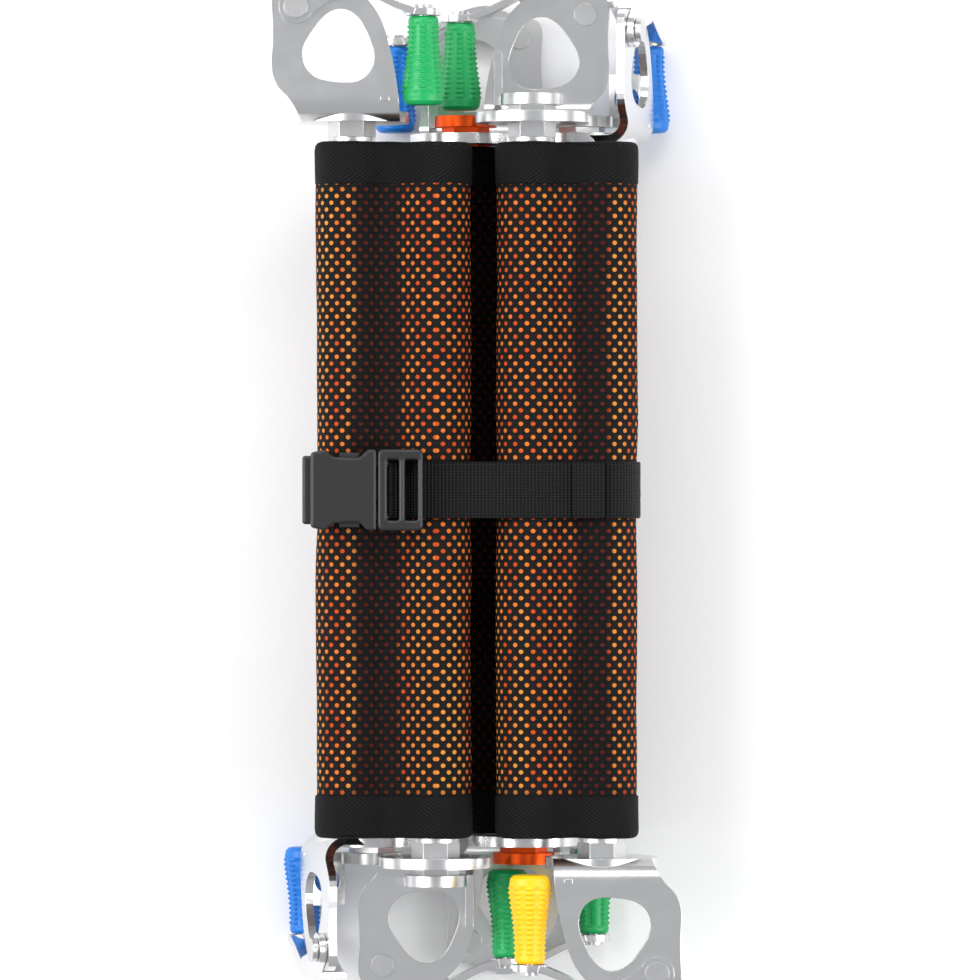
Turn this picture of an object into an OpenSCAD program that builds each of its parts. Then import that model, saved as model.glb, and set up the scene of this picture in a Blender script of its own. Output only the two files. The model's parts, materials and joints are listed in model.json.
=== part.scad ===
// Rolled mesh case with eight ice screws.
// The roll lies on its back: +Z points away from the floor, +Y runs along the
// screws, and the origin is on the floor below the middle of the case.

/* [Case] */
// Length of the rolled case along Y
case_len = 245; // [215:1:300]
// Inner radius of one screw sleeve
sleeve_r = 10; // [9.8:0.1:11]
// Thickness of the orange lining
lining_t = 0.8; // [0.5:0.1:1.2]
// Thickness of the outer mesh
mesh_t = 1.0; // [0.6:0.1:1.6]
// Space between lining and mesh
layer_gap = 0.3; // [0.2:0.1:0.5]
// Half distance between the two outer sleeves of the front row
front_edge = 44; // [42:0.5:50]
// Distance of the inner sleeve from the outer one in the left flap
left_pitch = 29.5; // [26:0.5:32]
// Distance of the inner sleeve from the outer one in the right flap
right_pitch = 24.5; // [23:0.5:27]
// Half distance between the two outer sleeves of the back row
back_edge = 37.5; // [36:0.5:40]
// Distance of the inner sleeves of the back row from each other
back_pitch = 20.75; // [20.5:0.25:22]
// Height of the back row's axes above the floor
back_z = 27.3; // [27.3:0.1:40]
// Distance of the front row's axes above the back row's
row_gap = 38.5; // [38.5:0.5:46]
// Width of the bound edge at each end
binding_w = 15; // [10:1:20]

/* [Strap] */
// Width of the webbing
strap_w = 20; // [15:1:25]
// Thickness of the webbing
strap_t = 1.4; // [1:0.1:2]
// Width of the buckle across the webbing
buckle_w = 28.5; // [27:0.5:32]
// Length of the buckle's socket half
socket_len = 23; // [20:1:28]
// Length of the buckle's plug frame
plug_len = 16; // [14:1:20]
// Thickness of the buckle
buckle_t = 8; // [7:0.5:10]

/* [Screw] */
// Radius of the tube's body
tube_r = 8.3; // [7:0.1:8.6]
// Radius over the thread
thread_r = 9.4; // [9:0.1:9.6]
// Radius of the bore through the tube
bore_r = 6.4; // [5:0.1:6.6]
// Distance between thread crests
thread_pitch = 8; // [6:1:12]
// Length of the longest tube below its hanger
tube_len = 210; // [180:1:212]
// Width of the six-sided neck across its corners
neck_d = 17; // [16.8:0.1:17.6]
// Radius of the cap at the head
cap_r = 11; // [10.4:0.1:12]
// Thickness of the cap
cap_t = 4; // [3:0.5:6]
// Bare neck left between the hanger's base and the cap
neck_gap = 2.6; // [1:0.2:4]

/* [Hanger] */
// Radius of the hanger's base
base_r = 20; // [19:0.1:20.2]
// Thickness of the plate
plate_t = 2.9; // [2.4:0.1:3.4]
// Distance from the tube's axis to the ear's outer face
ear_y = 22.5; // [22.5:0.1:23.5]
// Inside radius of the bend from base to ear
bend_r = 6; // [4:0.5:8]
// Height of the clip-in eye's middle above the base's underside
eye_z = 25; // [24:0.5:27]
// Mean radius of the clip-in eye
eye_r = 12.2; // [10:0.1:12.6]

/* [Crank] */
// Thickness of the crank's strip
crank_t = 2.4; // [2:0.1:3]
// Width of the arm that wraps over the ear
arm_w = 13.5; // [12:0.5:14]
// Distance of the knob's axis from the tube's axis
knob_x = 25.4; // [25:0.1:27]
// Length of the knob
knob_len = 31; // [26:0.5:32]
// Radius of the knob at its free end
knob_r = 7.6; // [7:0.1:7.8]
// Radius of the knob at the crank
knob_neck_r = 5; // [4.5:0.1:6]
// Radius of the spindle inside the knob
spindle_r = 2; // [1.6:0.1:2.5]

/* [Hidden] */
$fn = 48;
HEX = 6;
fit = 0.05;                 // running clearance of a pin in its hole, on radius
snug = 0.1;                 // clearance of the neck in the hanger's six-sided hole
play = 0.3;                 // clearance between parts that only pass each other
eps = 0.01;
overrun = 1;                // how far a cutting shape runs past what it cuts

lining_r = sleeve_r + lining_t;
mesh_in_r = lining_r + layer_gap;
mesh_r = mesh_in_r + mesh_t;
valley = 4.6;               // how far the cloth sinks between two sleeves
front_z = back_z + row_gap;
left_row = [-front_edge, -front_edge + left_pitch];
right_row = [front_edge - right_pitch, front_edge];
back_row = [-back_edge, back_edge - 2*back_pitch, back_edge - back_pitch, back_edge];
wall_shift = 6.5;           // side wall lies this far outside the line of the axes
case_end = case_len/2;
binding_t = 0.9;
base_y = case_end + 0.6;    // underside of a back-row hanger base
front_step = 6;             // front-row hangers stand this much further out
eye_drop = 4;               // eye's middle lies this far from the axis, away from the knob
rivet_x = -19;              // crank pivot, sideways from the axis
rivet_z = eye_z + 14.7;
rivet_r = 2.6;
boss_r = 6;
arm_top = rivet_z + 8.6;
knob_top = rivet_z - 3.2;
knob_y = ear_y - 3.9;
side_turn = 75;             // how far the outer back-row screws are turned in their sleeves
base_t = plate_t + 0.9;
cap_z = base_t + neck_gap;
strap_r = mesh_r + play;    // webbing lies on the mesh
steel = [0.78, 0.78, 0.8];
orange_metal = [0.85, 0.25, 0.08];
black = [0.08, 0.08, 0.09];
green = [0.02, 0.6, 0.25];
blue = [0.02, 0.4, 0.75];
yellow = [1.0, 0.78, 0.05];
short_len = tube_len - 40;
mid_len = tube_len - 20;

// name, x, z, end of the roll (1 upper, -1 lower), turn about its axis,
// step out of the case, tube length, knob colour, tube colour
SCREWS = [
    ["top_left", left_row[0], front_z, 1, 0, front_step, tube_len, green, steel],
    ["top_back", back_row[1], back_z, 1, 180, 0, mid_len, blue, orange_metal],
    ["top_front", right_row[0], front_z, 1, 180, front_step, tube_len, green, steel],
    ["top_right", back_row[3], back_z, 1, side_turn, 0, mid_len, blue, steel],
    ["bottom_left", back_row[0], back_z, -1, side_turn, 0, mid_len, blue, steel],
    ["bottom_front", left_row[1], front_z, -1, 180, front_step, tube_len, green, steel],
    ["bottom_back", back_row[2], back_z, -1, 180, 0, tube_len, green, orange_metal],
    ["bottom_right", right_row[1], front_z, -1, 0, front_step, short_len, yellow, steel]
];
CASE_NODES = ["mesh_panel", "lining_panel", "binding_top", "binding_bottom", "strap",
    "strap_end_fold", "buckle_socket", "buckle_plug", "buckle_prong_upper", "buckle_prong_lower"];
SCREW_NODES = ["tube", "hanger", "crank", "crank_rivet", "knob", "knob_spindle"];

// Places a screw's own frame (head towards +Z, ear towards -Y) in the roll.
module at_screw(s) {
    translate([s[1], s[3]*(base_y + s[5]), s[2]])
        rotate([0, 0, s[3] > 0 ? 0 : 180])
            rotate([-90, 0, 0])
                rotate([0, 0, s[4]])
                    children();
}

// ---- case ----

// One row of sleeves joined by a web, as a cross-section in X and Z.
module row_2d(xs, z, r) {
    for (x = xs) translate([x, z]) circle(r);
    web = r - valley;
    translate([xs[0], z - web]) square([xs[len(xs) - 1] - xs[0], 2*web]);
}

// Side wall between the outer sleeves of the two rows.
module side_2d(side, r) {
    half = r - 9;
    top_x = front_edge + wall_shift;
    low_x = back_edge + wall_shift;
    mirror([side > 0 ? 1 : 0, 0, 0])
        polygon([[half - top_x, front_z], [-half - top_x, front_z],
                 [-half - low_x, back_z], [half - low_x, back_z]]);
}

module skin_2d(r) {
    row_2d(left_row, front_z, r);
    row_2d(right_row, front_z, r);
    row_2d(back_row, back_z, r);
    for (side = [-1, 1]) side_2d(side, r);
}

module sleeves_2d(r) {
    for (x = concat(left_row, right_row)) translate([x, front_z]) circle(r);
    for (x = back_row) translate([x, back_z]) circle(r);
}

module along_y(y0, y1) {
    translate([0, y1, 0]) rotate([90, 0, 0]) linear_extrude(y1 - y0) children();
}

module mesh_panel() {
    color("black") along_y(-case_end + binding_t, case_end - binding_t) difference() {
        skin_2d(mesh_r);
        skin_2d(mesh_in_r);
    }
}

module lining_panel() {
    color("orange") along_y(-case_end + binding_t, case_end - binding_t) difference() {
        skin_2d(lining_r);
        sleeves_2d(sleeve_r);
    }
}

// Tape folded over one end of the panel.
module binding(end) {
    y0 = end > 0 ? case_end - binding_w : -case_end;
    outer = mesh_r + play - 0.1 + binding_t;
    color("black") difference() {
        along_y(y0, y0 + binding_w) difference() {
            skin_2d(outer);
            sleeves_2d(sleeve_r);
        }
        along_y(end > 0 ? y0 - overrun : -case_end + binding_t,
                end > 0 ? case_end - binding_t : y0 + binding_w + overrun)
            skin_2d(mesh_r + 0.05);
    }
}

// ---- strap and buckle ----

corners = [[-front_edge, front_z], [front_edge, front_z],
           [back_edge, back_z], [-back_edge, back_z]];

// Direction that edge i faces, away from the roll.
function edge_facing(i) = let (run = corners[(i + 1) % 4] - corners[i % 4]) atan2(run[1], run[0]) + 90;

// A four-cornered outline with round corners of radius r.
module round_loop_2d(r) {
    arc_steps = 12;
    polygon([for (i = [0:3]) let (
            from = edge_facing(i + 3), turn = (from - edge_facing(i) + 720) % 360)
        for (k = [0:arc_steps]) let (a = from - turn*k/arc_steps)
            corners[i] + r*[cos(a), sin(a)]]);
}

module strap() {
    color(black) along_y(-strap_w/2, strap_w/2) difference() {
        round_loop_2d(strap_r + strap_t);
        round_loop_2d(strap_r);
    }
}

strap_z = front_z + strap_r + strap_t;

module strap_end_fold() {
    fold_len = 12;
    color(black) translate([front_edge - fold_len + 2, -strap_w/2, strap_z])
        cube([fold_len, strap_w, strap_t]);
}

socket_x = -front_edge - 14;
plug_x = socket_x + socket_len;
buckle_z = strap_z + eps;
wall = 1.8;
prong_w = 4.2;
prong_len = 15;
window_x = socket_x + 5;
window_len = 13;
channel_w = buckle_w - 2*wall;
prong_y = channel_w/2 - prong_w/2 - 1;
pivot_x = plug_x + 1.5;
pivot_r = 1.2;

module bar(x0, y0, z0, dx, dy, dz) {
    translate([x0, y0, z0]) cube([dx, dy, dz]);
}

module buckle_socket() {
    color(black) difference() {
        union() {
            bar(socket_x, -buckle_w/2, buckle_z, socket_len, buckle_w, buckle_t);
            bar(socket_x - 3, -strap_w/2 - 2, buckle_z, 3 + eps, strap_w + 4, 3);
        }
        bar(socket_x + wall + 2, -channel_w/2, buckle_z + wall, socket_len, channel_w,
            buckle_t - 2*wall);
        for (side = [-1, 1])
            bar(window_x, side > 0 ? channel_w/2 - overrun : -buckle_w/2 - overrun,
                buckle_z + wall, window_len, wall + 2*overrun, buckle_t - 2*wall);
    }
}

module buckle_plug() {
    inner_z = buckle_z + wall + 0.2;
    tongue_w = 6;
    color(black) {
        difference() {
            bar(plug_x + play, -buckle_w/2, buckle_z, plug_len, buckle_w, buckle_t);
            bar(plug_x + 5, -strap_w/2 - 1, buckle_z - overrun, 4, strap_w + 2, buckle_t + 2*overrun);
            bar(plug_x + 11, -strap_w/2 - 1, buckle_z + 3, 10, strap_w + 2, buckle_t);
            for (side = [-1, 1]) translate([pivot_x + 0.6, side*prong_y, inner_z - eps])
                cylinder(r = prong_w/2 + play, h = buckle_t - 2*wall - 0.4 + 2*eps);
            for (side = [-1, 1])
                bar(plug_x - overrun, side*prong_y - prong_w/2 - play, inner_z - eps,
                    overrun + 2.1, prong_w + 2*play, buckle_t - 2*wall - 0.4 + 2*eps);
        }
        bar(plug_x - 16, -tongue_w/2, inner_z + 0.4, 17, tongue_w, buckle_t - 2*wall - 1.2);
        for (side = [-1, 1]) translate([pivot_x + 0.6, side*prong_y, inner_z - 0.6])
            cylinder(r = pivot_r, h = buckle_t - 2*wall + 0.8);
    }
}

// One springy prong of the plug, from its root to the catch in the window.
module buckle_prong(side) {
    z0 = buckle_z + wall + 0.4;
    h = buckle_t - 2*wall - 0.8;
    x0 = pivot_x + 0.6;
    catch_len = 7;
    catch_w = channel_w/2 - prong_y + 1.6;
    color(black) difference() {
        union() {
            translate([x0, side*prong_y, z0]) cylinder(r = prong_w/2, h = h);
            bar(x0 - prong_len, side*prong_y - 1.2, z0, prong_len, 2.4, h);
            bar(x0 - prong_len, side > 0 ? prong_y - 1 : -prong_y + 1 - catch_w, z0, catch_len,
                catch_w, h);
        }
        translate([x0, side*prong_y, z0 - overrun]) cylinder(r = pivot_r + fit, h = h + 2*overrun);
    }
}

// ---- ice screw, drawn in its own frame ----

module tube(s) {
    length = s[6];
    turns = floor((length*0.55)/thread_pitch);
    color(s[8]) difference() {
        union() {
            translate([0, 0, -length]) cylinder(r = tube_r, h = length - 5);
            for (i = [0:turns - 1]) translate([0, 0, -length + 9 + i*thread_pitch])
                rotate_extrude() polygon([[bore_r + 0.5, -1.8], [tube_r, -1.8], [thread_r, -0.4],
                    [thread_r, 0.4], [tube_r, 0.8], [bore_r + 0.5, 0.8]]);
            translate([0, 0, -5 - eps]) cylinder(d = neck_d, h = cap_z + 5 + 2*eps, $fn = HEX);
            translate([0, 0, cap_z]) cylinder(r = cap_r, h = cap_t);
        }
        translate([0, 0, -length - overrun]) cylinder(r = bore_r, h = length + cap_z + cap_t + 2*overrun);
        for (a = [0, 90]) rotate(a) translate([0, 0, -length])
            rotate([90, 0, 0]) rotate(45) cube([5, 5, 3*tube_r], center = true);
    }
}

// Points on a quadratic curve through a chain of corner points.
function mid(a, b) = (a + b)/2;
function rounded(p, n) = [for (i = [0:len(p) - 1]) let (
        a = mid(p[i], p[(i + 1) % len(p)]), c = p[(i + 1) % len(p)],
        b = mid(c, p[(i + 2) % len(p)])) for (k = [0:n - 1])
            let (t = k/n) a*(1 - t)*(1 - t) + c*2*t*(1 - t) + b*t*t];

// Points on an open curve that starts and ends at the chain's end points.
function spline(p, n) = [for (i = [1:len(p) - 2]) let (
        a = i == 1 ? p[0] : mid(p[i - 1], p[i]), c = p[i],
        b = i == len(p) - 2 ? p[i + 1] : mid(p[i], p[i + 1])) for (k = [0:n - 1])
            let (t = k/n) a*(1 - t)*(1 - t) + c*2*t*(1 - t) + b*t*t];

ear_right = 17;
ear_left = -25.4;

module eye_2d() {
    polygon([for (a = [0:8:359]) let (r = eye_r*(1 + 0.09*cos(3*(a - 84))))
        [-eye_drop + r*cos(a), eye_z + 1.05*r*sin(a)]]);
}

module hanger_plate() {
    bend_out = bend_r + plate_t;
    // Side profile: base, bend and ear, in Y and Z.
    intersection() {
        rotate([90, 0, 90]) translate([0, 0, -40]) linear_extrude(80) {
            translate([-ear_y, bend_out]) square([plate_t, rivet_z + boss_r + 2 - bend_out]);
            intersection() {
                translate([-ear_y + bend_out, bend_out]) difference() {
                    circle(bend_out);
                    circle(bend_r);
                }
                translate([-ear_y, 0]) square([bend_out, bend_out]);
            }
            translate([-ear_y + bend_out - eps, 0]) square([ear_y - bend_out + 2, plate_t]);
        }
        translate([0, 40, 0]) rotate([90, 0, 0]) linear_extrude(80) ear_face_2d();
    }
    cylinder(r = base_r, h = base_t);
}

module ear_face_2d() {
    polygon(rounded([[-13, -14], [-19, 6], [ear_left - 3, 14], [ear_left - 1.4, 30],
        [ear_left - 3, 47.5], [-14, 46.5], [-2, 48.5], [9, 40], [14, 26], [ear_right + 0.4, 6],
        [ear_right, -14]], 6));
}

// Folded wing on the ear's inner edge, with its small second eye.
module hanger_wing() {
    wing_y0 = -ear_y + eps;
    wing_len = 15;
    difference() {
        translate([13.4 - plate_t, wing_y0, base_t + 3]) cube([plate_t, wing_len, 19]);
        translate([0, wing_y0 + 8.6, base_t + 13]) rotate([0, 90, 0]) cylinder(r = 4.6, h = 30);
    }
}

module hanger(s) {
    color("silver") difference() {
        union() {
            hanger_plate();
            hanger_wing();
        }
        translate([0, 0, -overrun]) cylinder(d = neck_d + 2*snug, h = base_t + 2*overrun, $fn = HEX);
        translate([0, 0, base_t]) cylinder(r = cap_r + play, h = neck_gap + cap_t + 2);
        translate([0, 40, 0]) rotate([90, 0, 0]) linear_extrude(80) eye_2d();
        translate([rivet_x, 0, rivet_z]) rotate([90, 0, 0]) cylinder(r = rivet_r + fit, h = 40);
    }
}

tab_y = -ear_y - play/2;
arm_y0 = tab_y - crank_t;

// Middle line of the arm over the ear, from the fold to the knob.
arm_corners = [[rivet_x - 1, arm_top - 3], [rivet_x + 7, arm_top + 1.6], [-2, arm_top + 1.2],
    [9, arm_top - 4.5], [knob_x - 9, knob_top + 3.4], [knob_x - 3, knob_top + 1.5]];
arm_path = [each spline(arm_corners, 4), arm_corners[len(arm_corners) - 1]];

function arm_side(d) = [for (i = [0:len(arm_path) - 1]) let (
        a = arm_path[max(i - 1, 0)], b = arm_path[min(i + 1, len(arm_path) - 1)],
        t = (b - a)/norm(b - a)) arm_path[i] + d*[-t[1], t[0]]];

function reversed(p) = [for (i = [len(p) - 1:-1:0]) p[i]];

module crank(s) {
    knob_tab = 6;
    color("silver") difference() {
        union() {
            // pivot tab, flat against the ear
            translate([0, tab_y, 0]) rotate([90, 0, 0]) linear_extrude(crank_t) {
                translate([rivet_x, rivet_z]) circle(boss_r);
                polygon(concat([[rivet_x - 4, rivet_z + 4.4]], [for (i = [1:9]) arm_side(crank_t/2)[i]],
                    [[3, arm_top - 4.6], [-8, arm_top - 7], [rivet_x + 5.2, rivet_z - 2.8]]));
            }
            // arm folded back over the ear's edge
            translate([0, arm_y0 + arm_w, 0]) rotate([90, 0, 0]) linear_extrude(arm_w)
                polygon(concat([for (i = [3:len(arm_path) - 1]) arm_side(crank_t/2)[i]],
                    reversed([for (i = [3:len(arm_path) - 1]) arm_side(-crank_t/2)[i]])));
            // end tab that carries the knob
            translate([knob_x, -knob_y, knob_top + play]) cylinder(r = knob_tab, h = crank_t);
            translate([knob_x - 4.5, -knob_y - knob_tab, knob_top + play])
                cube([4.5, 2*knob_tab, crank_t]);
        }
        translate([rivet_x, 0, rivet_z]) rotate([90, 0, 0]) cylinder(r = rivet_r + fit, h = 40);
        translate([knob_x, -knob_y, knob_top - overrun]) cylinder(r = spindle_r + fit, h = 9);
    }
}

module crank_rivet(s) {
    head_t = 2;
    color("silver") translate([rivet_x, 0, rivet_z]) rotate([90, 0, 0]) {
        translate([0, 0, ear_y - plate_t]) cylinder(r = rivet_r, h = plate_t + crank_t + play + head_t);
        translate([0, 0, ear_y + crank_t + play]) cylinder(r = 4.2, h = head_t);
        translate([0, 0, ear_y - plate_t - 1.2]) cylinder(r = 4, h = 1.2);
    }
}

module knob(s) {
    color(s[7]) translate([knob_x, -knob_y, knob_top]) difference() {
        rotate_extrude() polygon([[0, 0], [knob_neck_r, 0], [knob_neck_r + 0.3, -1.2],
            [knob_neck_r + 0.4, -13], [knob_r - 0.4, -24], [knob_r, -27],
            [knob_r - 0.5, -knob_len + 1.4], [knob_r - 1.6, -knob_len], [0, -knob_len]]);
        translate([0, 0, -knob_len + 4]) cylinder(r = spindle_r + fit, h = knob_len);
    }
}

module knob_spindle(s) {
    color("silver") translate([knob_x, -knob_y, knob_top]) {
        translate([0, 0, -knob_len + 5])
            cylinder(r = spindle_r, h = knob_len - 5 + crank_t + play + eps);
        translate([0, 0, crank_t + play]) cylinder(r = 3.2, h = 1.4);
    }
}

mesh_panel();
lining_panel();
binding(1);  // binding_top
binding(-1);  // binding_bottom
strap();
strap_end_fold();
buckle_socket();
buckle_plug();
buckle_prong(1);  // buckle_prong_upper
buckle_prong(-1);  // buckle_prong_lower
for (s = SCREWS) {
    at_screw(s) tube(s);
    at_screw(s) hanger(s);
    at_screw(s) crank(s);
    at_screw(s) crank_rivet(s);
    at_screw(s) knob(s);
    at_screw(s) knob_spindle(s);
}
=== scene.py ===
# %% [markdown]
# # A rolled case of ice screws
# The solid parts come from the CAD frame and keep their places. This script
# gives them their finishes, and makes the soft parts (mesh, lining, tapes and
# webbing) and the ribbed knobs as meshes of its own.

# %% Load the frame
import math
import bmesh
import bpy
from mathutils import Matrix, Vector, noise
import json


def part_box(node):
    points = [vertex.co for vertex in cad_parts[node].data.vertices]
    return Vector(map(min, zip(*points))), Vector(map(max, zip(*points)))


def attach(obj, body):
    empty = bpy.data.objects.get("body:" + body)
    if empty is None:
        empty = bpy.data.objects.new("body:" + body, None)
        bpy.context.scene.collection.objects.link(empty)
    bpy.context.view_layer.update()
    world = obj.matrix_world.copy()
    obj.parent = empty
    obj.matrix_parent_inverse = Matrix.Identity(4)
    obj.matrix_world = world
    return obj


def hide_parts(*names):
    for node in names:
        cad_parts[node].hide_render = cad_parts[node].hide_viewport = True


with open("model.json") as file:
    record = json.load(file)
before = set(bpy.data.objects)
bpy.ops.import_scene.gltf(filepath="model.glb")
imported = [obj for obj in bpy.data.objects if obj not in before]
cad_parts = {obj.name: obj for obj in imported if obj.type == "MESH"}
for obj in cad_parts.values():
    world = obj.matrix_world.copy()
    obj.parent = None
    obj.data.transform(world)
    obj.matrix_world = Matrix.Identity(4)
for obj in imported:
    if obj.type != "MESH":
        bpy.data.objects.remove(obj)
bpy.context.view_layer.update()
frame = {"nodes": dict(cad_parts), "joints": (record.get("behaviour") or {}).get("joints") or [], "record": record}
nodes = frame["nodes"]
joints = {j["name"]: j for j in frame["joints"]}
MM = 0.001

# %% [markdown]
# ## The size of the case
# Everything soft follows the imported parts, so its measures are read from their
# boxes: the tubes say where the sleeves are, and the bindings where the cloth
# ends.

# %% Read the sleeves and the ends
SCREWS = [n[len("tube_"):] for n in nodes if n.startswith("tube_")]
def sleeve_centre(screw):
    lo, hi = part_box("tube_" + screw)
    return ((lo[0] + hi[0]) / 2 / MM, (lo[2] + hi[2]) / 2 / MM)

sleeves = {s: sleeve_centre(s) for s in SCREWS}
front_z = max(c[1] for c in sleeves.values())
back_z = min(c[1] for c in sleeves.values())
front_row = sorted(c[0] for c in sleeves.values() if c[1] > (front_z + back_z) / 2)
back_row = sorted(c[0] for c in sleeves.values() if c[1] < (front_z + back_z) / 2)
case_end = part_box("binding_top")[1][1] / MM
skin_r = (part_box("mesh_panel")[1][2] / MM - front_z)
print("front sleeves", front_row, "back sleeves", back_row, "skin radius", round(skin_r, 2))

# %% [markdown]
# ## Shader groups
# A node group is built once and used in several materials. These give only
# masks, colours and heights; the Principled shader stays in each material.

# %% [markdown]
# The helpers below only save typing: each adds one node, joins its inputs and
# gives back its output, so that a formula can be read from left to right.

# %% Helpers for node trees
def new_group(name, ins, outs):
    g = bpy.data.node_groups.new(name, "ShaderNodeTree")
    for n, kind in ins:
        g.interface.new_socket(name=n, in_out="INPUT", socket_type=kind)
    for n, kind in outs:
        g.interface.new_socket(name=n, in_out="OUTPUT", socket_type=kind)
    return g, g.nodes.new("NodeGroupInput"), g.nodes.new("NodeGroupOutput")

def math_node(tree, op, a, b=None, c=None, clamp=False):
    n = tree.nodes.new("ShaderNodeMath")
    n.operation = op
    n.use_clamp = clamp
    for i, v in enumerate((a, b, c)):
        if v is None:
            continue
        if isinstance(v, (int, float)):
            n.inputs[i].default_value = v
        else:
            tree.links.new(v, n.inputs[i])
    return n.outputs[0]

def mix_colour(tree, factor, a, b):
    n = tree.nodes.new("ShaderNodeMix")
    n.data_type = "RGBA"
    for sock, v in ((n.inputs[0], factor), (n.inputs[6], a), (n.inputs[7], b)):
        if isinstance(v, (int, float)):
            sock.default_value = v
        elif isinstance(v, tuple):
            sock.default_value = (*v, 1)
        else:
            tree.links.new(v, sock)
    return n.outputs[2]

def ramp(tree, value, lo, hi):
    n = tree.nodes.new("ShaderNodeMapRange")
    n.interpolation_type = "SMOOTHSTEP"
    tree.links.new(value, n.inputs["Value"])
    n.inputs["From Min"].default_value = lo
    n.inputs["From Max"].default_value = hi
    return n.outputs["Result"]

F, V = "NodeSocketFloat", "NodeSocketVector"

# %% [markdown]
# ### Knitted mesh
# The outer cloth is an open knit: rows of small round holes, each row moved
# half a step from the one before. Inside a hole the lining shows. The group
# works in millimetres of cloth, from the mesh's own UV map.

# %% Mesh holes
def holes_group():
    g, gi, go = new_group("knit_holes", [("Cloth", V)], [("Hole", F), ("Height", F), ("Pick", F)])
    sep = g.nodes.new("ShaderNodeSeparateXYZ")
    g.links.new(gi.outputs["Cloth"], sep.inputs[0])
    across, along = 4.05, 2.35
    row = math_node(g, "FLOOR", math_node(g, "DIVIDE", sep.outputs[1], along))
    odd = math_node(g, "FLOORED_MODULO", row, 2.0)
    u = math_node(g, "ADD", math_node(g, "DIVIDE", sep.outputs[0], across),
                  math_node(g, "MULTIPLY", odd, 0.5))
    fu = math_node(g, "SUBTRACT", math_node(g, "FRACT", u), 0.5)
    fv = math_node(g, "SUBTRACT", math_node(g, "FRACT", math_node(g, "DIVIDE", sep.outputs[1], along)), 0.5)
    dx = math_node(g, "MULTIPLY", fu, across)
    dy = math_node(g, "MULTIPLY", fv, along)
    dist = math_node(g, "SQRT", math_node(g, "ADD", math_node(g, "MULTIPLY", dx, dx),
                                          math_node(g, "MULTIPLY", dy, dy)))
    hole = ramp(g, dist, 0.90, 0.68)
    g.links.new(hole, go.inputs["Hole"])
    # A loop of yarn runs round every hole, and fine stitches run along it.
    rim = ramp(g, dist, 1.75, 0.95)
    stitch = math_node(g, "SINE", math_node(g, "MULTIPLY", math_node(g, "ADD", dist, math_node(
        g, "MULTIPLY", fu, 2.0)), 11.0))
    height = math_node(g, "ADD", math_node(g, "MULTIPLY", rim, 0.7), math_node(g, "MULTIPLY", stitch, 0.18))
    height = math_node(g, "SUBTRACT", height, math_node(g, "MULTIPLY", hole, 1.3))
    g.links.new(height, go.inputs["Height"])
    cell = g.nodes.new("ShaderNodeCombineXYZ")
    g.links.new(math_node(g, "FLOOR", u), cell.inputs[0])
    g.links.new(row, cell.inputs[1])
    white = g.nodes.new("ShaderNodeTexWhiteNoise")
    g.links.new(cell.outputs[0], white.inputs["Vector"])
    g.links.new(white.outputs["Value"], go.inputs["Pick"])
    return g

# %% [markdown]
# ### Twill and ribs
# Binding tape is woven in twill, which shows as fine slanting lines. Webbing
# has cross ribs, one for every pick of its weft, and a smooth edge cord.

# %% Tape weaves
def weave_group(name, a, b, pitch, cross):
    g, gi, go = new_group(name, [("Cloth", V)], [("Height", F)])
    sep = g.nodes.new("ShaderNodeSeparateXYZ")
    g.links.new(gi.outputs["Cloth"], sep.inputs[0])
    slant = math_node(g, "ADD", math_node(g, "MULTIPLY", sep.outputs[0], a),
                      math_node(g, "MULTIPLY", sep.outputs[1], b))
    wave = math_node(g, "SINE", math_node(g, "MULTIPLY", slant, 2 * math.pi / pitch))
    fine = math_node(g, "SINE", math_node(g, "MULTIPLY", math_node(
        g, "SUBTRACT", math_node(g, "MULTIPLY", sep.outputs[0], b),
        math_node(g, "MULTIPLY", sep.outputs[1], a)), 2 * math.pi / cross))
    both = math_node(g, "ADD", math_node(g, "MULTIPLY", wave, 0.5), math_node(g, "MULTIPLY", fine, 0.3))
    g.links.new(both, go.inputs["Height"])
    return g

# %% [markdown]
# ### Metal marks
# Handled steel is never even: it has faint scratches along the rolling of the
# sheet and cloudy finger marks, which show in its roughness.

# %% Marks on metal
def marks_group():
    g, gi, go = new_group("handling_marks", [("Scale", F)], [("Clouds", F), ("Scratch", F)])
    tex = g.nodes.new("ShaderNodeTexCoord")
    clouds = g.nodes.new("ShaderNodeTexNoise")
    g.links.new(tex.outputs["Object"], clouds.inputs["Vector"])
    g.links.new(gi.outputs["Scale"], clouds.inputs["Scale"])
    clouds.inputs["Detail"].default_value = 4
    stretch = g.nodes.new("ShaderNodeMapping")
    stretch.inputs["Scale"].default_value = (2600, 120, 2600)
    g.links.new(tex.outputs["Object"], stretch.inputs["Vector"])
    lines = g.nodes.new("ShaderNodeTexNoise")
    lines.inputs["Scale"].default_value = 1
    g.links.new(stretch.outputs[0], lines.inputs["Vector"])
    g.links.new(clouds.outputs[0], go.inputs["Clouds"])
    g.links.new(lines.outputs[0], go.inputs["Scratch"])
    return g

HOLES = holes_group()
TWILL = weave_group("tape_twill", 0.62, 0.78, 1.1, 0.7)
RIBS = weave_group("webbing_ribs", 1.0, 0.0, 1.25, 1.0)
MARKS = marks_group()
print("shader groups", len(bpy.data.node_groups))

# %% [markdown]
# ## Materials
# Each is named for the piece that wears it.

# %% Material helpers
def start(name):
    m = bpy.data.materials.new(name)
    m.use_nodes = True
    t = m.node_tree
    return m, t, t.nodes["Principled BSDF"]

def use(t, group, cloth=True):
    n = t.nodes.new("ShaderNodeGroup")
    n.node_tree = group
    if cloth:
        uv = t.nodes.new("ShaderNodeUVMap")
        uv.uv_map = "cloth_mm"
        t.links.new(uv.outputs[0], n.inputs["Cloth"])
    return n

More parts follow.
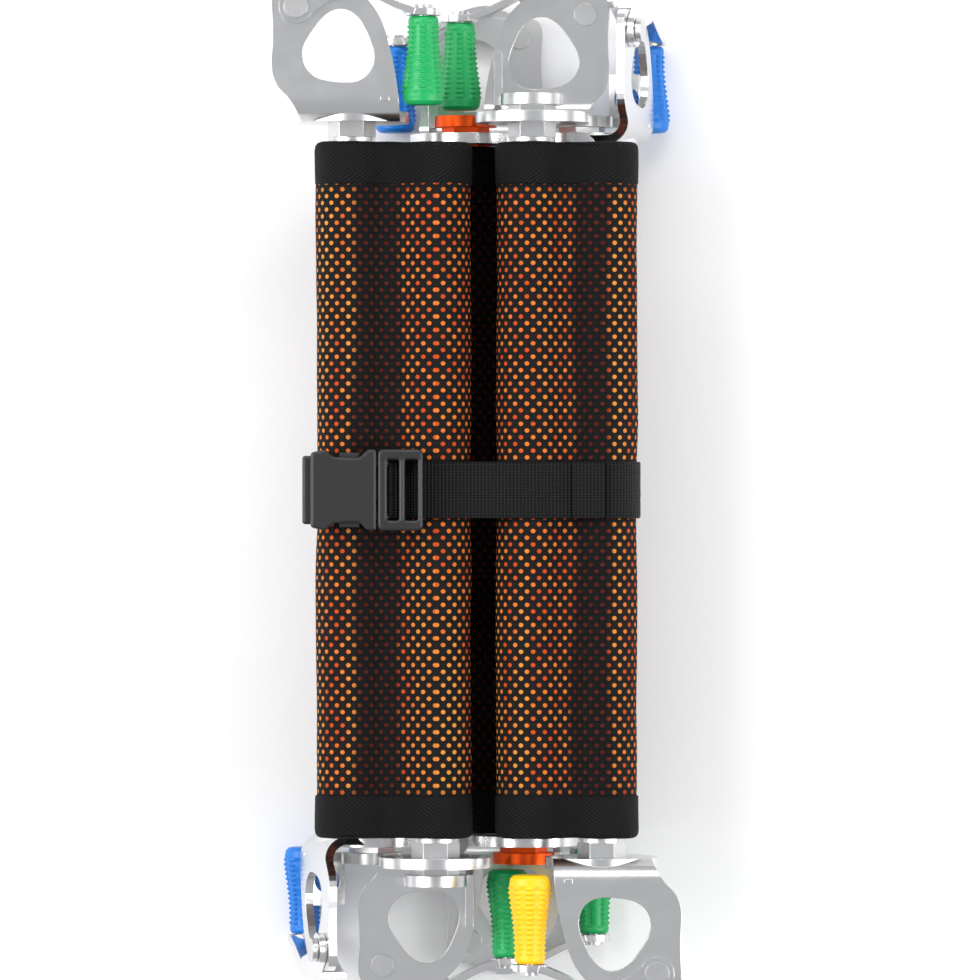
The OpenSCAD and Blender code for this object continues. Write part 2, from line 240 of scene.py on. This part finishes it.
def bump(t, p, height, distance, strength=1.0, bevel=0.0):
    b = t.nodes.new("ShaderNodeBump")
    b.inputs["Strength"].default_value = strength
    b.inputs["Distance"].default_value = distance
    t.links.new(height, b.inputs["Height"])
    if bevel:
        soft = t.nodes.new("ShaderNodeBevel")
        soft.inputs["Radius"].default_value = bevel
        t.links.new(soft.outputs[0], b.inputs["Normal"])
    t.links.new(b.outputs[0], p.inputs["Normal"])

# %% [markdown]
# Cloth has little shine. The knit shows yarn, and lining through its holes; the
# attributes on the mesh carry painted light: bright orange lining where it lies
# close, painted shade (dark maroon lining, darker yarn) where it lies deep.

# %% Cloth materials
def knit_material():
    m, t, p = start("knitted_mesh_over_lining")
    k = use(t, HOLES)
    lit = t.nodes.new("ShaderNodeAttribute")
    lit.attribute_name = "painted_lining_light"
    lining_lit = lit.outputs["Fac"]
    warm = mix_colour(t, ramp(t, k.outputs["Pick"], 0.25, 0.75), (0.52, 0.065, 0.012), (0.66, 0.17, 0.028))
    # Amber: a random tone that the mesh gives only where the lining is painted lit, so it is partly a painted
    # highlight.
    amber = t.nodes.new("ShaderNodeAttribute")
    amber.attribute_name = "lining_amber"
    warm = mix_colour(t, amber.outputs["Fac"], warm, (0.66, 0.26, 0.045))
    # Painted shade: where the lining is not painted lit, its orange is painted dark maroon, and on the next line
    # the yarn is painted darker.
    seen = mix_colour(t, lining_lit, (0.045, 0.005, 0.004), warm)
    yarn = mix_colour(t, lining_lit, (0.004, 0.004, 0.0045), (0.009, 0.0075, 0.007))
    colour = mix_colour(t, k.outputs["Hole"], yarn, seen)
    t.links.new(colour, p.inputs["Base Color"])
    p.inputs["Roughness"].default_value = 0.72
    p.inputs["Specular IOR Level"].default_value = 0.12
    bump(t, p, k.outputs["Height"], 0.0004, 0.8)
    return m

def woven_material(name, group, colour, depth, rough=0.8, lit_crest_colour=(0.02, 0.02, 0.022)):
    m, t, p = start(name)
    w = use(t, group)
    # The raised threads get the second colour, painted lighter: a painted highlight on the crests of the weave.
    shade = ramp(t, w.outputs["Height"], -0.6, 0.8)
    t.links.new(mix_colour(t, shade, colour, lit_crest_colour), p.inputs["Base Color"])
    p.inputs["Roughness"].default_value = rough
    p.inputs["Specular IOR Level"].default_value = 0.16
    bump(t, p, w.outputs["Height"], depth, 0.9)
    return m

knit = knit_material()
# In each call below, the second colour is the painted highlight on the raised threads.
lining = woven_material("orange_lining", TWILL, (0.42, 0.06, 0.012), 0.00012, 0.8, (0.72, 0.14, 0.03))
binding = woven_material("twill_binding_tape", TWILL, (0.002, 0.002, 0.0025), 0.00035, 0.7,
                         (0.011, 0.011, 0.012))
webbing = woven_material("ribbed_webbing", RIBS, (0.003, 0.003, 0.0035), 0.0005, 0.55, (0.016, 0.016, 0.018))

# %% [markdown]
# The plates are stamped from polished steel, the tubes turned, and two of them
# anodised orange. Buckle and knobs are moulded. A bevel in the shader rounds
# the edges of the CAD solids, which real punched and moulded edges always are.

# %% Hard materials
def metal_material(name, colour, rough, spread, scratch=0.00001, bevel=0.0003):
    m, t, p = start(name)
    k = use(t, MARKS, cloth=False)
    k.inputs["Scale"].default_value = 130
    low = math_node(t, "MULTIPLY_ADD", k.outputs["Clouds"], spread, rough)
    t.links.new(math_node(t, "MULTIPLY_ADD", k.outputs["Scratch"], spread * 0.5, low), p.inputs["Roughness"])
    p.inputs["Base Color"].default_value = (*colour, 1)
    p.inputs["Metallic"].default_value = 1
    bump(t, p, k.outputs["Scratch"], scratch, 0.5, bevel)
    return m

def plastic_material(name, colour, rough, grain, bevel=0.0004):
    m, t, p = start(name)
    tex = t.nodes.new("ShaderNodeTexCoord")
    n = t.nodes.new("ShaderNodeTexNoise")
    n.inputs["Scale"].default_value = 1800
    t.links.new(tex.outputs["Object"], n.inputs["Vector"])
    p.inputs["Base Color"].default_value = (*colour, 1)
    t.links.new(math_node(t, "MULTIPLY_ADD", n.outputs[0], 0.15, rough), p.inputs["Roughness"])
    bump(t, p, n.outputs[0], grain, 0.5, bevel)
    return m

plate_steel = metal_material("polished_hanger_steel", (0.80, 0.80, 0.80), 0.16, 0.10)
tube_steel = metal_material("turned_tube_steel", (0.66, 0.66, 0.66), 0.24, 0.12)
tube_orange = metal_material("orange_anodised_tube", (0.85, 0.10, 0.015), 0.30, 0.10)
buckle_black = plastic_material("moulded_buckle_black", (0.012, 0.012, 0.013), 0.30, 0.00003, 0.0009)
KNOB_COLOURS = {"knob_green": (0.0, 0.34, 0.085), "knob_blue": (0.0, 0.17, 0.62),
                "knob_yellow": (0.95, 0.55, 0.0)}
knob_plastic = {k: plastic_material(k + "_plastic", c, 0.34, 0.00002, 0.0)
                for k, c in KNOB_COLOURS.items()}

slot_of = {s["node"]: s["material_slot"] for s in frame["record"]["subparts"]}
by_slot = {"plate_steel": plate_steel, "tube_steel": tube_steel, "tube_orange": tube_orange,
           "buckle": buckle_black, "mesh": knit, "lining": lining, "binding": binding, "webbing": webbing,
           **knob_plastic}
for name, obj in nodes.items():
    obj.data.materials.clear()
    obj.data.materials.append(by_slot[slot_of[name]])
print("materials", len(bpy.data.materials))

# %% [markdown]
# ## The outline of the roll
# Seen from the end, the case is one strip of cloth folded to a C: four sleeves
# at the back and two flaps of two sleeves in front. A signed distance says how
# far a point lies outside the cloth: negative inside, nought on the cloth. The
# outline is then walked in small steps along the line where it is nought.

# %% Distance to the cloth
def to_segment(p, a, b):
    ab = (b[0] - a[0], b[1] - a[1])
    t = ((p[0] - a[0]) * ab[0] + (p[1] - a[1]) * ab[1]) / (ab[0] ** 2 + ab[1] ** 2)
    t = min(1, max(0, t))
    return math.hypot(p[0] - a[0] - t * ab[0], p[1] - a[1] - t * ab[1])

def blend_min(a, b, k):
    h = max(k - abs(a - b), 0) / k
    return min(a, b) - h * h * k / 4

SAG = 4.4
LINKS = [(front_row[0], front_row[1], front_z), (front_row[2], front_row[3], front_z),
         (back_row[0], back_row[3], back_z)]
SIDES = [((s * (front_row[3] + 6.5), front_z), (s * (back_row[3] + 6.5), back_z)) for s in (-1, 1)]

def outside(p, grow=0.0):
    d = 1e9
    for x in front_row:
        d = blend_min(d, math.hypot(p[0] - x, p[1] - front_z) - skin_r, 2.5)
    for x in back_row:
        d = blend_min(d, math.hypot(p[0] - x, p[1] - back_z) - skin_r, 2.5)
    for x0, x1, z in LINKS:
        d = blend_min(d, to_segment(p, (x0, z), (x1, z)) - skin_r + SAG, 2.5)
    for a, b in SIDES:
        d = blend_min(d, to_segment(p, a, b) - 3.1, 2.5)
    return d - grow + 0.35

def slope(f, p):
    e = 0.01
    return Vector(((f((p[0] + e, p[1])) - f((p[0] - e, p[1]))) / (2 * e),
                   (f((p[0], p[1] + e)) - f((p[0], p[1] - e))) / (2 * e)))

def walk_outline(f, first, step=0.5):
    p = Vector(first)
    for _ in range(12):
        g = slope(f, p)
        p = p - g * (f(p) / max(g.length_squared, 0.05))
    loop = [p.copy()]
    while len(loop) < 6000:
        g = slope(f, p)
        p = p + Vector((-g[1], g[0])).normalized() * step
        for _ in range(2):
            g = slope(f, p)
            p = p - g * (f(p) / max(g.length_squared, 0.05))
        if len(loop) > 20 and (p - loop[0]).length < step * 0.8:
            break
        loop.append(p.copy())
    return loop

def even(loop, n):
    """The closed line again, with n points the same distance apart."""
    run = [0.0]
    for i in range(len(loop)):
        run.append(run[-1] + (loop[(i + 1) % len(loop)] - loop[i]).length)
    out, i = [], 0
    for k in range(n):
        s = run[-1] * k / n
        while run[i + 1] < s:
            i += 1
        t = (s - run[i]) / (run[i + 1] - run[i])
        out.append(loop[i].lerp(loop[(i + 1) % len(loop)], t))
    return out, run[-1]

start_at = (front_row[1], front_z + skin_r)
skin_line, skin_round = even(walk_outline(outside, start_at), 520)
print("outline", len(skin_line), "points, round", round(skin_round, 1), "mm")

# %% [markdown]
# ## Building cloth from the outline
# A grid of points follows the outline round and the case lengthwise. Small
# slow noise lifts and sinks it, as cloth over tubes never lies quite straight.

# %% Mesh building
def smooth(v, lo, hi):
    t = min(1, max(0, (v - lo) / (hi - lo)))
    return t * t * (3 - 2 * t)

def make_object(name, verts, faces, uvs, material, marks=None):
    me = bpy.data.meshes.new(name)
    me.from_pydata([tuple(c * MM for c in v) for v in verts], [], faces)
    layer = me.uv_layers.new(name="cloth_mm")
    for poly in me.polygons:
        face_uv = uvs[poly.index]
        for k, li in enumerate(poly.loop_indices):
            layer.data[li].uv = face_uv[k]
    for key, values in (marks or {}).items():
        at = me.attributes.new(key, "FLOAT", "POINT")
        at.data.foreach_set("value", values)
    me.shade_smooth()
    me.materials.append(material)
    obj = bpy.data.objects.new(name, me)
    bpy.context.scene.collection.objects.link(obj)
    return obj

def grid_faces(rows, cols, closed=True):
    faces, cells = [], []
    for r in range(rows - 1):
        for c in range(cols if closed else cols - 1):
            d = (c + 1) % cols
            faces.append((r * cols + c, r * cols + d, (r + 1) * cols + d, (r + 1) * cols + c))
            cells.append((r, c))
    return faces, cells

def grid_uvs(cells, du, dv):
    return [((c * du, r * dv), ((c + 1) * du, r * dv), ((c + 1) * du, (r + 1) * dv), (c * du, (r + 1) * dv))
            for r, c in cells]

def normal_at(loop, i):
    a, b = loop[i - 1], loop[(i + 1) % len(loop)]
    t = (b - a).normalized()
    return Vector((t[1], -t[0]))

out_way = 1 if outside(skin_line[5] + normal_at(skin_line, 5)) > 0 else -1

def near_sleeve(p):
    """How far p is from the nearest tube, past the radius of the skin."""
    d = min(math.hypot(p[0] - x, p[1] - front_z) for x in front_row)
    d = min(d, min(math.hypot(p[0] - x, p[1] - back_z) for x in back_row))
    return d - skin_r

def cloth_wave(p, y):
    v = Vector((p[0] * 0.045, p[1] * 0.045, y * 0.018))
    fine = Vector((p[0] * 0.12 + 9, p[1] * 0.12, y * 0.05))
    return 0.55 * noise.noise(v) + 0.3 * noise.noise(fine)

# %% [markdown]
# The strap pulls the roll together, so the cloth under it sinks a little and
# swells again on both sides.

# %% The outer mesh
# Where the mesh stands off the lining between two screws, the orange is painted dim: painted shade in these
# hollows.
PAINTED_SHADE_HOLLOWS = [(-34.7, 7.2), (40.5, 5.6)]

# How much painted light the lining under the mesh gets: 1 painted lit, 0 painted shade.
def lining_light_mask(p, y):
    wobble = 2.2 * noise.noise(Vector((y * 0.022, p[0] * 0.05, 7)))
    if p[1] > front_z:
        out = min(abs(p[0] + wobble - x) - half for x, half in PAINTED_SHADE_HOLLOWS)
        return smooth(out, -0.5, 2.6)
    # Painted shade: the cloth inside the roll, between the flaps and the back row, is painted dark.
    if p[1] > back_z + 4 and abs(p[0]) < front_row[3]:
        return 0.0
    # Painted shade in the valleys between sleeves; painted lit where the cloth lies on a sleeve.
    return 1 - smooth(near_sleeve(p), 0.15, 1.9)

def build_mesh_cloth():
    rows, half = 123, case_end - 1.2
    verts, lining_lit, amber = [], [], []
    for r in range(rows):
        y = -half + 2 * half * r / (rows - 1)
        for i, p in enumerate(skin_line):
            n = normal_at(skin_line, i) * out_way
            pinch = -0.45 * math.exp(-(y / 16) ** 2)
            puff = cloth_wave(p, y) + pinch
            q = p + n * max(-0.9, min(0.45, puff))
            verts.append((q[0], y, q[1]))
            # Painted shade towards both ends of the roll, under the binding: the painted light on the lining fades
            # there.
            fade = half - 26 - 6 * noise.noise(Vector((p[0] * 0.07, 3, p[1] * 0.07)))
            edge = 1 - smooth(abs(y), fade, half - 12)
            painted_lit = lining_light_mask(p, y)
            lit_dimmed_at_ends = painted_lit if edge > 0.5 else painted_lit * (0.4 + 1.2 * edge)
            lining_lit.append(max(0, min(1, 0.04 + 0.96 * lit_dimmed_at_ends)))
            # Amber is a random tone, kept only where the lining is painted lit: partly a painted highlight.
            tone = smooth(noise.noise(Vector((p[0] * 0.13, p[1] * 0.13, y * 0.004))), -0.05, 0.4)
            amber.append(tone * painted_lit)
    faces, cells = grid_faces(rows, len(skin_line))
    du, dv = skin_round / len(skin_line), 2 * half / (rows - 1)
    uvs = grid_uvs(cells, du, dv)
    obj = make_object("mesh_cloth", verts, faces, uvs, knit, {"painted_lining_light": lining_lit, "lining_amber": amber})
    thick = obj.modifiers.new("knit_thickness", "SOLIDIFY")
    thick.thickness = 0.8 * MM
    thick.offset = -1 if out_way > 0 else 1
    return obj, half

mesh_cloth, mesh_half = build_mesh_cloth()
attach(mesh_cloth, "case")
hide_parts("mesh_panel")
print("mesh cloth", len(mesh_cloth.data.vertices), "points")

# %% [markdown]
# ## Lining
# Each screw lies in a sewn sleeve of orange lining. It is a thin tube of cloth
# a little wider than the screw, with a soft crease here and there.

# %% Sleeves
SLEEVE_R = 10.35

def build_lining():
    verts, faces, uvs = [], [], []
    around, rows, half = 48, 40, case_end - 1.6
    for cx, cz in sleeves.values():
        base = len(verts)
        for r in range(rows):
            y = -half + 2 * half * r / (rows - 1)
            for k in range(around):
                a = 2 * math.pi * k / around
                rad = SLEEVE_R + 0.2 * noise.noise(Vector((math.cos(a) * 2, math.sin(a) * 2 + cx, y * 0.04)))
                verts.append((cx + rad * math.cos(a), y, cz + rad * math.sin(a)))
        part, cells = grid_faces(rows, around)
        faces += [tuple(base + v for v in f) for f in part]
        du, dv = 65 / around, 2 * half / (rows - 1)
        uvs += grid_uvs(cells, du, dv)
    obj = make_object("lining_cloth", verts, faces, uvs, lining)
    thick = obj.modifiers.new("lining_thickness", "SOLIDIFY")
    thick.thickness = 0.3 * MM
    thick.offset = 1
    return obj, half

lining_cloth, lining_half = build_lining()
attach(lining_cloth, "case")
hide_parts("lining_panel")
print("lining sleeves", len(sleeves))

# %% [markdown]
# ## Binding tape
# The raw edges are closed with a tape folded over them: down the outside, over
# the rim in a soft round, and a short way down the inside.

# %% Bindings
def build_binding(name, end):
    wide = case_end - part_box(name)[0][1] / MM if end > 0 else case_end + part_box(name)[1][1] / MM
    profile = [(0.55, wide), (0.95, wide - 0.5), (1.05, wide * 0.6), (1.1, 3.0), (0.9, 1.4), (0.3, 0.45),
               (-0.6, 0.1), (-1.5, 0.45), (-2.1, 1.4), (-2.3, 3.0), (-2.3, wide * 0.7)]
    verts = []
    for grow, back in profile:
        for i, p in enumerate(skin_line):
            n = normal_at(skin_line, i) * out_way
            ripple = 0.12 * noise.noise(Vector((p[0] * 0.25, p[1] * 0.25, end * 4 + back * 0.15)))
            crest = 0.3 * noise.noise(Vector((p[0] * 0.1, p[1] * 0.1, end * 9.0)))
            q = p + n * (grow + ripple)
            y = end * (case_end - back - (0.3 + crest if back < 4 else 0))
            verts.append((q[0], y, q[1]))
    faces, cells = grid_faces(len(profile), len(skin_line))
    run = [0.0]
    for a, b in zip(profile, profile[1:]):
        run.append(run[-1] + math.hypot(a[0] - b[0], a[1] - b[1]))
    du = skin_round / len(skin_line)
    uvs = [((c * du, run[r]), ((c + 1) * du, run[r]), ((c + 1) * du, run[r + 1]), (c * du, run[r + 1]))
           for r, c in cells]
    obj = make_object(name + "_tape", verts, faces, uvs, binding)
    thick = obj.modifiers.new("tape_thickness", "SOLIDIFY")
    thick.thickness = 0.5 * MM
    thick.offset = 0
    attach(obj, "case")
    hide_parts(name)
    return obj

tapes = [build_binding("binding_top", 1), build_binding("binding_bottom", -1)]
print("tapes", [t.name for t in tapes])

# %% [markdown]
# ## Strap
# One length of webbing goes round the roll. It is pulled tight over the outer
# sleeves and spans the valleys, so its line is the outline of four round
# corners. Its end is folded and sewn down.

# %% Webbing
strap_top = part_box("strap")[1][2] / MM
strap_w = (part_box("strap")[1][1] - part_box("strap")[0][1]) / MM
strap_r = strap_top - front_z - 0.7
CORNERS = [Vector((front_row[0], front_z)), Vector((front_row[3], front_z)),
           Vector((back_row[3], back_z)), Vector((back_row[0], back_z))]

def strap_line():
    pts = []
    for i, c in enumerate(CORNERS):
        a_in = (c - CORNERS[i - 1]).normalized()
        a_out = (CORNERS[(i + 1) % 4] - c).normalized()
        n0, n1 = Vector((-a_in[1], a_in[0])), Vector((-a_out[1], a_out[0]))
        for k in range(17):
            pts.append(c + n0.slerp(n1, k / 16) * strap_r)
    return pts

def ribbon(name, line, closed, width, thick):
    """A flat band with rounded edges that follows line; its width runs along Y."""
    section = [(-width / 2, 0), (-width / 2 + 0.5, thick / 2)]
    section += [(-width / 2 + width * k / 10, thick / 2) for k in range(1, 10)]
    section += [(width / 2 - 0.5, thick / 2), (width / 2, 0), (width / 2 - 0.5, -thick / 2)]
    section += [(width / 2 - width * k / 10, -thick / 2) for k in range(1, 10)]
    section += [(-width / 2 + 0.5, -thick / 2)]
    verts, run = [], [0.0]
    for i, p in enumerate(line):
        if closed:
            n = normal_at(line, i)
        else:
            a, b = line[max(i - 1, 0)], line[min(i + 1, len(line) - 1)]
            t = (b - a).normalized()
            n = Vector((t[1], -t[0]))
        n = -n
        if i:
            run.append(run[-1] + (p - line[i - 1]).length)
        for y, h in section:
            q = p + n * h
            verts.append((q[0], y, q[1]))
    cols = len(section)
    rows = len(line)
    faces, uvs = [], []
    for r in range(rows if closed else rows - 1):
        r2 = (r + 1) % rows
        s0 = run[r]
        s1 = run[r2] if r2 else run[-1] + (line[0] - line[-1]).length
        for c in range(cols):
            d = (c + 1) % cols
            faces.append((r * cols + c, r * cols + d, r2 * cols + d, r2 * cols + c))
            uvs.append(((s0, section[c][0]), (s0, section[d][0]), (s1, section[d][0]), (s1, section[c][0])))
    if not closed:
        for r, flip in ((0, False), (rows - 1, True)):
            ring = [r * cols + c for c in range(cols)]
            faces.append(tuple(ring if flip else reversed(ring)))
            uvs.append([(run[r], section[c][0]) for c in (range(cols) if flip else reversed(range(cols)))])
    return make_object(name, verts, faces, uvs, webbing)

loop_line, loop_len = even(strap_line(), 420)
strap_band = ribbon("strap_webbing", loop_line, True, strap_w, 1.3)
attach(strap_band, "case")
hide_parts("strap")

lo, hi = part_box("strap_end_fold")
fold_line = [Vector((lo[0] / MM + k, strap_top + 0.75 - 0.9 * smooth(k, 11.0, 13.0)))
             for k in range(0, int((hi[0] - lo[0]) / MM) + 1)]
fold_band = ribbon("strap_fold_webbing", fold_line, False, strap_w, 1.3)
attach(fold_band, "case")
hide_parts("strap_end_fold")
print("strap round", round(loop_len), "mm")

# %% [markdown]
# ## Buckle
# The two halves of the buckle are injection moulded. Every outside edge is
# rounded so that it draws from its mould and doesn't cut the webbing. Each is
# made by stacking its outline in rings that shrink towards the faces. The socket
# is waisted at its sides, where the prongs are pressed, and the plug ends in a
# ladder that grips the webbing.

# %% Moulded halves
def rounded_outline(corners, radius, steps=6):
    out = []
    for i, c in enumerate(corners):
        a = (corners[i - 1] - c).normalized()
        b = (corners[(i + 1) % len(corners)] - c).normalized()
        p, q = c + a * radius, c + b * radius
        for k in range(steps + 1):
            t = k / steps
            out.append(p * (1 - t) ** 2 + c * 2 * t * (1 - t) + q * t * t)
    return out

def shrunk(line, d):
    return [p + normal_at(line, i) * -d for i, p in enumerate(line)]

def moulded(name, line, z0, z1, edge, holes=()):
    """A moulded plate: outline with soft edges from z0 to z1, with slots through it."""
    verts, faces = [], []
    def tower(loop, sign):
        levels = [(edge, z0), (edge * 0.3, z0 + edge * 0.3), (0, z0 + edge), (0, z1 - edge),
                  (edge * 0.3, z1 - edge * 0.3), (edge, z1)]
        rings = []
        for inset, z in levels:
            ring = []
            for q in shrunk(loop, inset * sign):
                ring.append(len(verts))
                verts.append((q[0], q[1], z))
            rings.append(ring)
        n = len(loop)
        for lower, upper in zip(rings, rings[1:]):
            for k in range(n):
                m = (k + 1) % n
                f = (lower[k], lower[m], upper[m], upper[k])
                faces.append(f if sign > 0 else f[::-1])
        return rings[0], rings[-1]
    ends = [tower(line, 1)] + [tower(h, -1) for h in holes]
    me = bpy.data.meshes.new(name)
    me.from_pydata([tuple(c * MM for c in v) for v in verts], [], faces)
    bm = bmesh.new()
    bm.from_mesh(me)
    bm.verts.ensure_lookup_table()
    for which in (0, 1):
        edges = set()
        for pair in ends:
            ring = pair[which]
            for k in range(len(ring)):
                e = bm.edges.get((bm.verts[ring[k]], bm.verts[ring[(k + 1) % len(ring)]]))
                edges.add(e)
        bmesh.ops.triangle_fill(bm, use_beauty=True, use_dissolve=False, edges=list(edges))
    bmesh.ops.recalc_face_normals(bm, faces=bm.faces)
    bm.to_mesh(me)
    bm.free()
    me.materials.append(buckle_black)
    obj = bpy.data.objects.new(name, me)
    bpy.context.scene.collection.objects.link(obj)
    return obj

def box_outline(x0, y0, x1, y1, r):
    return rounded_outline([Vector((x0, y0)), Vector((x1, y0)), Vector((x1, y1)), Vector((x0, y1))], r)

slo, shi = [[c / MM for c in v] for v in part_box("buckle_socket")]
plo, phi = [[c / MM for c in v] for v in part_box("buckle_plug")]
half_w = shi[1]
sx0, sx1 = slo[0] + 3, shi[0]
bar_w = 12
slot_w = 10.6
finger_w = 3
waist = [Vector((sx0, -half_w + 1.2)), Vector((sx0 + 5, -half_w)), Vector((sx0 + 8, -half_w + 2.6)),
         Vector((sx1 - 6, -half_w + 3.0)), Vector((sx1 - 3, -half_w)), Vector((sx1, -half_w))]
waist += [Vector((p[0], -p[1])) for p in reversed(waist)]
z_low, z_top = slo[2], shi[2]
socket = moulded("buckle_socket_moulded", rounded_outline(waist, 1.15), z_top - 2.2, z_top, 0.8)
socket_low = moulded("buckle_socket_back", rounded_outline(waist, 1.15), z_low, z_low + 1.8, 0.5)
socket_bar = moulded("buckle_socket_bar", box_outline(slo[0], -bar_w, sx0 + 3, bar_w, 1.2), z_low, z_low + 3, 0.8)
walls = [moulded("buckle_wall_" + n, box_outline(sx0 + 0.5, y0, sx1 - 0.5, y1, 0.5),
                 z_low + 1, z_top - 1, 0.2)
         for n, y0, y1 in (("mid_lower", -5.6, -4.4), ("mid_upper", 4.4, 5.6))]
root = moulded("buckle_wall_root", box_outline(sx0 + 0.6, -half_w + 2, sx0 + 3.4, half_w - 2, 0.8),
               z_low + 1, z_top - 1, 0.2)
px0, px1 = shi[0] + 0.4, phi[0]
slots = [box_outline(px0 + 3.4, -slot_w, px0 + 7.4, slot_w, 0.8),
         box_outline(px0 + 9.6, -slot_w, px1 - 1.9, slot_w, 0.8)]
ladder = moulded("buckle_ladder_moulded", box_outline(px0, -half_w, px1, half_w, 2.2),
                 z_low + 0.4, z_top - 0.6, 0.8, slots)
tongue = moulded("buckle_plug_tongue", box_outline(px0 - 15, -finger_w, px0 + 1, finger_w, 1.0),
                 z_low + 2.4, z_top - 2.6, 0.4)
for piece in (socket, socket_low, socket_bar, root, *walls, ladder, tongue):
    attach(piece, "case")
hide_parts("buckle_socket")
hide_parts("buckle_plug")
# The webbing climbs over the ladder's bars.
weave_line = [Vector((px0 + k * 0.5, z_low + 2.6 + 1.4 * math.sin(max(0, k * 0.5 - 2) * 0.55)))
              for k in range(2, 2 * int(px1 - px0) + 3)]
woven = ribbon("strap_in_ladder", weave_line, False, strap_w, 1.2)
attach(woven, "case")
print("buckle pieces made")

# %% [markdown]
# ## Knobs
# Each crank ends in a moulded knob that spins on a spindle. It is narrow at
# the crank and flares to a round end, and rows of short ridges give grip with
# gloves on. The joint of the knob says where it starts and which way it runs.

# %% Ribbed knobs
KNOB_LEN = 31.0
# Distance from the crank and radius there.
KNOB_PROFILE = [(0.0, 0.3), (0.0, 4.4), (0.4, 5.0), (1.2, 5.3), (5.0, 5.1), (9.0, 5.2), (13.0, 5.5),
                (17.0, 6.0), (21.0, 6.6), (25.0, 7.1), (27.5, 7.2), (29.6, 6.9), (30.7, 6.0),
                (KNOB_LEN, 5.0), (KNOB_LEN, 0.3)]

def knob_radius(d):
    for (a, ra), (b, rb) in zip(KNOB_PROFILE[1:], KNOB_PROFILE[2:]):
        if a <= d <= b and b > a:
            return ra + (rb - ra) * smooth(d, a, b)
    return KNOB_PROFILE[-2][1]

def build_knob(screw):
    j = joints["knob_" + screw + "_spin"]
    axis = -Vector(j["axis"]).normalized()
    top = Vector(j["pos_m"]) / MM
    side = axis.cross(Vector((0, 0, 1))).normalized()
    up = axis.cross(side).normalized()
    around, ribs, rows = 96, 8, 125
    verts, faces, uvs = [], [], []
    for r in range(rows):
        d = KNOB_LEN * r / (rows - 1)
        for k in range(around):
            a = 2 * math.pi * k / around
            ridge = 0.5 + 0.5 * math.cos(2 * math.pi * (d - 2.0) / 1.75)
            bar = smooth(math.cos(a * ribs), -0.25, 0.25)
            grip = smooth(d, 2.0, 3.0) * (1 - smooth(d, 26.0, 27.5))
            rad = knob_radius(d) + grip * bar * (0.55 * smooth(ridge, 0.2, 0.8) - 0.05)
            rad -= grip * 0.35 * (1 - bar)
            q = top + axis * d + (side * math.cos(a) + up * math.sin(a)) * rad
            verts.append(tuple(q))
    faces, cells = grid_faces(rows, around)
    uvs = [((c, r), (c + 1, r), (c + 1, r + 1), (c, r + 1)) for r, c in cells]
    for r, depth in ((0, 0.0), (rows - 1, KNOB_LEN)):
        centre = len(verts)
        verts.append(tuple(top + axis * depth))
        for k in range(around):
            m = (k + 1) % around
            tri = (r * around + k, r * around + m, centre)
            faces.append(tri if r else tri[::-1])
            uvs.append(((0, 0), (1, 0), (0, 1)))
    colour = slot_of["knob_" + screw]
    obj = make_object("knob_ribbed_" + screw, verts, faces, uvs, knob_plastic[colour])
    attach(obj, "knob_" + screw)
    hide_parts("knob_" + screw)
    return obj

knobs = [build_knob(s) for s in SCREWS]
print("knobs", len(knobs))

# %% [markdown]
# ## Stage, light and camera
# A plain pale floor takes a soft shadow. Large soft lamps give the polished
# plates something white to mirror, and the camera looks straight down from
# well above, as for a catalogue picture.

# %% Floor and world
bpy.ops.mesh.primitive_plane_add(size=8, location=(0, 0, -0.0005))
floor = bpy.context.active_object
floor.name = "floor"
fm, ft, fp = start("pale_floor")
fp.inputs["Base Color"].default_value = (0.9, 0.9, 0.9, 1)
fp.inputs["Roughness"].default_value = 0.9
floor.data.materials.append(fm)

world = bpy.data.worlds.new("pale_room")
bpy.context.scene.world = world
world.use_nodes = True
wt = world.node_tree
back = wt.nodes["Background"]
path = wt.nodes.new("ShaderNodeLightPath")
seen = math_node(wt, "MAXIMUM", path.outputs["Is Camera Ray"], path.outputs["Is Transmission Ray"])
wt.links.new(mix_colour(wt, seen, (0.62, 0.63, 0.65), (1, 1, 1)), back.inputs["Color"])
back.inputs["Strength"].default_value = 0.75

def lamp(name, place, aim, size, watts):
    data = bpy.data.lights.new(name, "AREA")
    data.shape = "RECTANGLE"
    data.size, data.size_y = size
    data.energy = watts
    obj = bpy.data.objects.new(name, data)
    obj.location = place
    obj.rotation_euler = (Vector(aim) - Vector(place)).to_track_quat("-Z", "Y").to_euler()
    bpy.context.scene.collection.objects.link(obj)
    return obj

lamp("left_softbox", (-0.9, 0.15, 0.9), (0, 0, 0.05), (0.7, 1.1), 14)
lamp("right_softbox", (0.9, -0.1, 0.8), (0, 0, 0.05), (0.5, 1.0), 9)
lamp("top_strip", (0.0, 0.9, 0.9), (0, 0.1, 0.05), (1.0, 0.3), 6)

# %% [markdown]
# A long lens far above flattens the view, so both ends of the roll are seen
# straight from above. The height and the width to show give the focal length.

# %% Camera
cam_data = bpy.data.cameras.new("overhead_camera")
cam = bpy.data.objects.new("overhead_camera", cam_data)
bpy.context.scene.collection.objects.link(cam)
subject_w, height = 0.3439, 2.6
cam_data.sensor_width = 36
cam_data.lens = 36 * (height - 0.075) / subject_w
cam.location = (0.0047, 0.0, height)
bpy.context.scene.camera = cam
bpy.context.scene.view_settings.view_transform = "Standard"
print("lens", round(cam_data.lens, 1))
